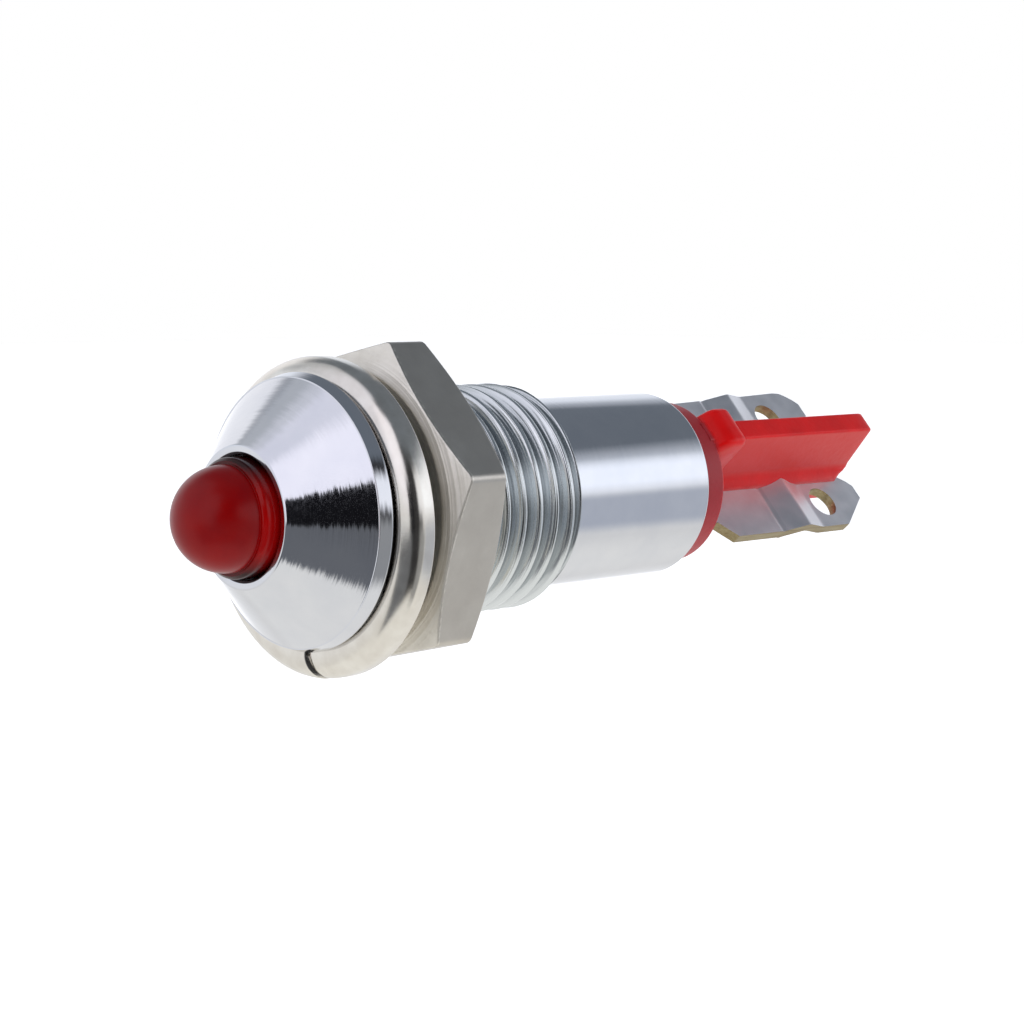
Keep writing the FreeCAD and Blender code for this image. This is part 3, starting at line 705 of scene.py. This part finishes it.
# Rear insulator
# Moulded in red plastic in one piece: a spigot pressed into the barrel, a flange, a hub, and the
# wall that keeps the two tabs apart. Its edges are soft from the mould.
tail_cosine = 0.66262  # of 48.5 degrees, which the tail is turned about the lamp's axis
tail_sine = 0.74896
tail_across = np.array([tail_cosine, 0.0, -tail_sine])
tail_along = np.array([0.0, 1.0, 0.0])
tail_height = np.array([tail_sine, 0.0, tail_cosine])
spigot_front = 13.76
spigot_radius = 2.74
flange_front = 16.162
flange_radius = 2.98
flange_back = 17.41
hub_front = 17.25
hub_back = 18.76
hub_half = 0.87
hub_top = 3.35
wall_front = 17.2
wall_narrows = 25.86
wall_back = 26.46
wall_foot = -0.35
wall_foot_half = 1.2
wall_waist_half = 0.81
wall_top = 3.0
wall_top_half = 0.42
wall_lean = 0.375
crease_angle = math.radians(32)


def on_the_tail(across, along, height):
    """Points placed across the tabs, along the lamp and up the wall between the tabs."""
    across, along, height = np.broadcast_arrays(across, along, height)
    return (across[..., None] * tail_across + along[..., None] * tail_along
            + height[..., None] * tail_height)


def carried(outline, insets):
    """Closed outline carried along a straight path, with its ends drawn in: at each step it is
    shrunk about the middle of its box by that step's inset on every side."""
    middle = (outline.min(axis=0) + outline.max(axis=0)) / 2
    half = (outline.max(axis=0) - outline.min(axis=0)) / 2
    return middle + (outline - middle)[:, None, :] * (1 - insets[None, :, None] / half)


def closed_up(side):
    """Side of a carried outline, with its first row again at the end."""
    return np.concatenate([side, side[:1]])


def joined(target, others, operation="UNION"):
    """Target with the other closed pieces joined to it or cut out of it, as one closed skin that is
    smooth between its creases. All of them are drawn at one metre for a millimetre, and the skin
    is brought to size at the end."""
    for other in others:
        cutter = target.modifiers.new("joint", "BOOLEAN")
        cutter.operation = operation
        cutter.solver = "EXACT"
        cutter.object = other
    bpy.context.view_layer.update()
    skin = bpy.data.meshes.new_from_object(
        target.evaluated_get(bpy.context.evaluated_depsgraph_get()))
    target.modifiers.clear()
    skin.transform(Matrix.Scale(MM, 4))
    old = target.data
    target.data = skin
    bpy.data.meshes.remove(old)
    skin.name = target.name
    for other in others:
        other_mesh = other.data
        bpy.data.objects.remove(other)
        bpy.data.meshes.remove(other_mesh)
    skin.shade_smooth()
    skin.set_sharp_from_angle(angle=crease_angle)
    skin.materials.clear()
    return target


plug_outline = softened([
    (0.0, spigot_front), (spigot_radius, spigot_front), (spigot_radius, flange_front),
    (flange_radius, flange_front), (flange_radius, flange_back), (0.0, flange_back),
], cut=[0.12, 0.02, 0.05, 0.10])
insulator = surface_piece("insulator", round_the_axis(plug_outline[:, :1], plug_outline[:, 1:],
                                                      np.linspace(0, FULL_TURN, 129)), unit=1.0)
hub_outline = softened([
    (17.8, wall_foot), (hub_back, wall_foot), (hub_back, hub_top), (17.86, hub_top), (17.30, 2.84),
    (hub_front, 2.60), (hub_front, wall_foot), (17.8, wall_foot),
], cut=[0.30, 0.30, 0.25, 0.05, 0.05, 0.05])[:-1]

# Both ends of the hub are rounded: the closer a step lies to the end, the more it is drawn in.
hub_edge_in = np.array([0.0, 0.03, 0.09, 0.17, 0.26])
hub_edge_inset = np.array([0.26, 0.16, 0.07, 0.02, 0.0])
hub_across = np.concatenate([hub_edge_in - hub_half, hub_half - hub_edge_in[::-1]])
hub_side = closed_up(carried(hub_outline, np.append(hub_edge_inset, hub_edge_inset[::-1])))
hub_block = surface_piece("hub_block", on_the_tail(hub_across, hub_side[..., 0], hub_side[..., 1]),
                          caps=True, unit=1.0)

# At its back end the wall's foot narrows to the width of its waist, and its top leans back.
wall_half = np.array([(0.0, wall_foot), (wall_foot_half, wall_foot), (wall_foot_half, 0.84),
                      (wall_waist_half, 1.16), (wall_top_half, wall_top)])
wall_outline = softened(np.concatenate([wall_half, wall_half[::-1] * (-1, 1)]),
                        cut=[0.06, 0.14, 0.3, 0.10, 0.10, 0.3, 0.14, 0.06])[:-1]
wall_along = np.array([wall_front, wall_narrows, 26.3, 26.40, 26.45, wall_back])
wall_side = carried(wall_outline, np.array([0.0, 0.0, 0.0, 0.02, 0.06, 0.10]))
narrowing = np.clip((wall_along - wall_narrows) / (wall_back - wall_narrows), 0, 1)
foot_limit = wall_foot_half - (wall_foot_half - wall_waist_half) * narrowing
wall_side[..., 0] = np.clip(wall_side[..., 0], -foot_limit, foot_limit)
wall_side = closed_up(wall_side)
lean_share = np.clip((wall_along - wall_front) / (wall_back - wall_front), 0, 1) ** 8
lean = wall_lean * (wall_side[..., 1] - wall_foot) / (wall_top - wall_foot) * lean_share
wall_block = surface_piece("wall_block", on_the_tail(
    wall_side[..., 0], wall_along + lean, wall_side[..., 1])[::-1], caps=True, unit=1.0)
joined(insulator, [hub_block, wall_block])
red_plastic, plastic_tree = plain_finish(
    "red_plastic", Roughness=0.34, IOR=1.33, Subsurface_Weight=0.12,
    Subsurface_Radius=(0.0006, 0.0001, 0.0001), Subsurface_Scale=1.0)


def facing_up_the_tail(tree):
    """How far a spot looks up the wall between the tabs."""
    return pointing(tree, node(tree, "TexCoord", output="Normal"), tuple(tail_height))


plastic_place = on_the_piece(plastic_tree)
plastic_cloud = mottle(plastic_tree, plastic_place, scale=0.9, detail=4.0)
plastic_dots = mottle(plastic_tree, plastic_place, scale=4.0)
plastic_ripple = mottle(plastic_tree, plastic_place, scale=6.0)
plastic_colour = tinted(plastic_tree, plastic_cloud, (0.60, 0.001, 0.001), (0.72, 0.003, 0.003))
# Faces that don't look up the wall get a paler, pinker red: painted sheen.
plastic_painted_sheen_share = ranged(plastic_tree, facing_up_the_tail(plastic_tree), 0.2, 0.7, 1.0, 0.0)
plastic_with_painted_sheen = mixed(plastic_tree, plastic_painted_sheen_share, plastic_colour, (0.56, 0.030, 0.028, 1.0))
# The flange is coloured a darker red than the rest of the moulding: painted shade.
flange_painted_shade_share = ranged(plastic_tree, part_of(plastic_tree, plastic_place, "Y"),
                      flange_back - 0.11, flange_back + 0.09, 1.0, 0.0)
patterned(red_plastic,
          Base_Color=mixed(plastic_tree, flange_painted_shade_share, plastic_with_painted_sheen, (0.33, 0.022, 0.028, 1.0)),
          Roughness=clouded(plastic_tree, plastic_dots, 0.28, 0.42),
          Normal=relief(plastic_tree, plastic_ripple, depth=0.006))
insulator.data.materials.append(red_plastic)
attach(insulator, "lamp")
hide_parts("rear_insulator")

# Solder tabs
# Punched from 0.4 mm tinned brass strip, with one pressed bump and a hole for the wire. The
# punched edges show the bare brass. Both are moulded into the insulator and soldered inside.
tab_under = 0.34
tab_over = 0.74
tab_front = 12.26
tab_tip = 26.838
tab_tip_length = 1.19
tab_hole_across = 2.1
tab_hole_along = 24.46
tab_hole_radius = 0.65
notch_middle = 1.2185
notch_half = 0.28
notch_front = 12.0
notch_back = 13.61
punch_depth = 1.2
bump_height = 0.26
bump_places = np.array([21.09, 21.23, 21.29, 21.42, 22.41, 22.51, 22.61, 22.71, 23.46, 23.56,
                        23.66])
bump_shares = np.array([0.0, -0.15, -0.13, 0.08, 0.92, 0.985, 0.985, 0.895, 0.105, 0.026, 0.0])


def tab_lift(along):
    """Height of the pressed bump: a fine stamped line, then straight ramps up and down, with
    softly bent creases."""
    return bump_height * np.interp(along, bump_places, bump_shares)


def tab_sheet(name, outer_edge, inner_edge):
    """Closed sheet between two edges, each a list of (along, across): its section at every place
    along the lamp is a flat bar, lifted where the bump is. Rows lie close together on either side
    of the stamped line's creases, and towards the tip."""
    along = np.unique(np.concatenate([
        [point[0] for point in outer_edge], [point[0] for point in inner_edge],
        np.linspace(21.10, 23.70, 53), np.linspace(tab_front, 26.80, 59),
        np.concatenate([bump_places[:4] - 0.005, bump_places[:4] + 0.005]),
        tab_tip - tab_tip_length * (1 - np.linspace(0, 1, 13)) ** 2]))
    outer = np.interp(along, *zip(*outer_edge))
    inner = np.interp(along, *zip(*inner_edge))
    share = np.linspace(0, 1, 9)
    across = inner[None, :] + (outer - inner)[None, :] * np.concatenate(
        [share, share[::-1], share[:1]])[:, None]
    level = np.repeat([tab_over, tab_under, tab_over], [share.size, share.size, 1])
    level = level[:, None] + tab_lift(along)
    return surface_piece(name, on_the_tail(across, along[None, :], level), caps=True, unit=1.0)


def punched(sheet, side):
    """Sheet with the hole and the notch for the lead wire cut out."""
    turn = np.linspace(0, FULL_TURN, 65)[:, None]
    depth = np.array([[0.0, punch_depth]])
    hole_across = side * tab_hole_across + tab_hole_radius * np.cos(turn)
    hole_along = tab_hole_along + tab_hole_radius * np.sin(turn)
    drill = surface_piece("drill", on_the_tail(hole_across, hole_along, depth), caps=True, unit=1.0)
    notch_across = side * notch_middle + notch_half * np.array([[-1], [1], [1], [-1], [-1]])
    notch_along = np.array([notch_front, notch_front, notch_back, notch_back, notch_front])[:, None]
    notch = surface_piece("notch", on_the_tail(notch_across, notch_along, depth), caps=True,
                          unit=1.0)
    return joined(sheet, [drill, notch], "DIFFERENCE")


# The edges of both tabs, as places along the lamp and across it from its axis.
near_outer = [(tab_front, 1.77), (13.79, 1.77), (14.57, 2.55), (17.91, 2.55), (18.61, 3.25),
              (25.19, 3.25), (tab_tip, 2.1)]
near_inner = [(tab_front, 0.67), (14.57, 0.67), (15.1, 1.2), (17.91, 1.2), (25.65, 0.88),
              (26.05, 0.92), (26.34, 1.08), (26.62, 1.28), (tab_tip, 1.5)]
far_outer = [(tab_front, 1.77), (13.79, 1.77), (14.57, 2.55), (17.91, 2.55), (18.36, 3.0),
             (25.65, 3.32), (26.05, 3.28), (26.34, 3.12), (26.62, 2.92), (tab_tip, 2.7)]
far_inner = [(tab_front, 0.67), (14.57, 0.67), (14.85, 0.95), (25.19, 0.95), (tab_tip, 2.1)]
tinned_brass, tinned_tree = plain_finish("tinned_brass", Metallic=1.0)
tinned_cloud = mottle(tinned_tree, on_the_piece(tinned_tree), scale=1.6, detail=5.0)
tinned_lines = mottle(tinned_tree, on_the_piece(tinned_tree, (6.0, 0.35, 6.0)), scale=2.0)
sheet_facing = arithmetic(tinned_tree, "ABSOLUTE", facing_up_the_tail(tinned_tree))
cut_share = ranged(tinned_tree, sheet_facing, 0.45, 0.60, 1.0, 0.0)
tin_colour = tinted(tinned_tree, tinned_cloud, (0.76, 0.75, 0.765), (0.84, 0.83, 0.845))
brass_colour = tinted(tinned_tree, tinned_lines, (0.24, 0.18, 0.09), (0.38, 0.32, 0.19))
patterned(tinned_brass,
          Base_Color=mixed(tinned_tree, cut_share, tin_colour, brass_colour),
          Roughness=clouded(tinned_tree, tinned_cloud, 0.32, 0.44),
          Normal=relief(tinned_tree, tinned_lines, depth=0.0006))
for side, name, node_name, outer_edge, inner_edge in [
        (1, "terminal_near", "tab_near", near_outer, near_inner),
        (-1, "terminal_far", "tab_far", far_outer, far_inner)]:
    signed_outer = [(along, side * across) for along, across in outer_edge]
    signed_inner = [(along, side * across) for along, across in inner_edge]
    edges = (signed_outer, signed_inner) if side > 0 else (signed_inner, signed_outer)
    terminal = punched(tab_sheet(name, *edges), side)
    terminal.data.materials.append(tinned_brass)
    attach(terminal, "lamp")
    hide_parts(node_name)

# LED and its holder
# A 3 mm LED in red diffused epoxy with tinned leads, centred by a turned nylon holder that also
# presses the lens forward.


def dress(node_name, material):
    """Gives a CAD node its finish."""
    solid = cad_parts[node_name]
    solid.data.materials.clear()
    solid.data.materials.append(material)


epoxy, epoxy_tree = plain_finish("led_epoxy", Roughness=0.12, IOR=1.53, Transmission_Weight=0.3)
epoxy_cloud = mottle(epoxy_tree, on_the_piece(epoxy_tree), scale=2.0)
patterned(epoxy,
          Base_Color=tinted(epoxy_tree, epoxy_cloud, (0.55, 0.01, 0.01), (0.70, 0.03, 0.02)))
dress("led_body", epoxy)
nylon, nylon_tree = plain_finish(
    "holder_nylon", IOR=1.53, Subsurface_Weight=0.2,
    Subsurface_Radius=(0.0004, 0.0004, 0.0003), Subsurface_Scale=1.0)
nylon_place = on_the_piece(nylon_tree)
nylon_cloud = mottle(nylon_tree, nylon_place, scale=1.8)
nylon_rings = turning_marks(nylon_tree, nylon_place, along_share=1.0, scale=5.0)
patterned(nylon,
          Base_Color=tinted(nylon_tree, nylon_cloud, (0.66, 0.64, 0.57), (0.74, 0.72, 0.66)),
          Roughness=clouded(nylon_tree, nylon_cloud, 0.38, 0.5),
          Normal=relief(nylon_tree, nylon_rings, depth=0.002))
dress("led_holder", nylon)
lead_tin, lead_tree = plain_finish("lead_tin", Metallic=1.0)
lead_lines = mottle(lead_tree, on_the_piece(lead_tree, (3.0, 0.6, 3.0)), scale=3.0, detail=4.0)
patterned(lead_tin,
          Base_Color=tinted(lead_tree, lead_lines, (0.60, 0.60, 0.60), (0.72, 0.72, 0.71)),
          Roughness=clouded(lead_tree, lead_lines, 0.20, 0.36),
          Normal=relief(lead_tree, lead_lines, depth=0.004))
for node_name in ["led_anode_lead", "led_cathode_lead", "resistor_front_wire",
                  "resistor_rear_wire", "diode_front_wire", "diode_rear_wire"]:
    dress(node_name, lead_tin)

# Series resistor and protection diode
# A carbon film resistor in tan lacquer with four code bands, and a glass diode with a black band
# at its cathode. Both lie lengthwise in the sleeve.


def banded(tree, node_name, stops):
    """Bands along the piece: a stepped ramp over its length, through (share, colour) stops."""
    front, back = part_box(node_name)
    along = part_of(tree, on_the_piece(tree), "Y")
    share = ranged(tree, along, front.y / MM, back.y / MM, 0.0, 1.0)
    return stepped(tree, share, stops, smooth=False)


lacquer, lacquer_tree = plain_finish("resistor_lacquer", IOR=1.5, Coat_Weight=0.4,
                                     Coat_Roughness=0.1)
tan = (0.56, 0.40, 0.24)
code = banded(lacquer_tree, "resistor_body", [
    (0.0, tan), (0.10, (0.62, 0.45, 0.02)), (0.17, tan), (0.28, (0.16, 0.03, 0.25)), (0.35, tan),
    (0.45, (0.14, 0.05, 0.02)), (0.52, tan), (0.80, (0.55, 0.40, 0.12)), (0.88, tan)])
lacquer_cloud = mottle(lacquer_tree, on_the_piece(lacquer_tree), scale=2.5, detail=4.0)
patterned(lacquer,
          Base_Color=mixed(lacquer_tree, clouded(lacquer_tree, lacquer_cloud, 0.0, 0.3), code,
                           (0.30, 0.19, 0.11, 1.0)),
          Roughness=clouded(lacquer_tree, lacquer_cloud, 0.3, 0.45),
          Normal=relief(lacquer_tree, lacquer_cloud, depth=0.01))
dress("resistor_body", lacquer)
glass, glass_tree = plain_finish("diode_glass", IOR=1.52, Coat_Weight=0.6, Coat_Roughness=0.03)
amber = (0.50, 0.17, 0.05)
glass_bands = banded(glass_tree, "diode_body", [
    (0.0, amber), (0.18, (0.01, 0.01, 0.012)), (0.32, amber), (0.45, (0.34, 0.28, 0.22)),
    (0.58, amber)])
glass_cloud = mottle(glass_tree, on_the_piece(glass_tree), scale=3.0)
patterned(glass,
          Base_Color=mixed(glass_tree, clouded(glass_tree, glass_cloud, 0.0, 0.25), glass_bands,
                           (0.20, 0.07, 0.03, 1.0)),
          Roughness=clouded(glass_tree, glass_cloud, 0.05, 0.12))
dress("diode_body", glass)

# Solder joints
# Tin solder run round each lap of two leads and round the tails of the tabs. It is bright and a
# little wavy where it froze.
solder_tin, solder_tree = plain_finish("solder_tin", Metallic=1.0)
solder_waves = mottle(solder_tree, on_the_piece(solder_tree), scale=3.5)
patterned(solder_tin,
          Base_Color=tinted(solder_tree, solder_waves, (0.55, 0.56, 0.58), (0.72, 0.72, 0.73)),
          Roughness=clouded(solder_tree, solder_waves, 0.14, 0.34),
          Normal=relief(solder_tree, solder_waves, depth=0.03))
for node_name in ["solder_anode", "solder_cathode", "solder_tab_near", "solder_tab_far"]:
    dress(node_name, solder_tin)

# Insulating sleeve
# A tube rolled from amber film and pushed into the barrel, where it keeps the live leads off the
# brass.
film, film_tree = plain_finish("sleeve_film", IOR=1.6, Transmission_Weight=0.15)
film_lines = mottle(film_tree, on_the_piece(film_tree, (2.0, 0.4, 2.0)), scale=2.5, detail=4.0)
patterned(film,
          Base_Color=tinted(film_tree, film_lines, (0.52, 0.26, 0.05), (0.64, 0.35, 0.08)),
          Roughness=clouded(film_tree, film_lines, 0.2, 0.32),
          Normal=relief(film_tree, film_lines, depth=0.004))
dress("insulating_sleeve", film)
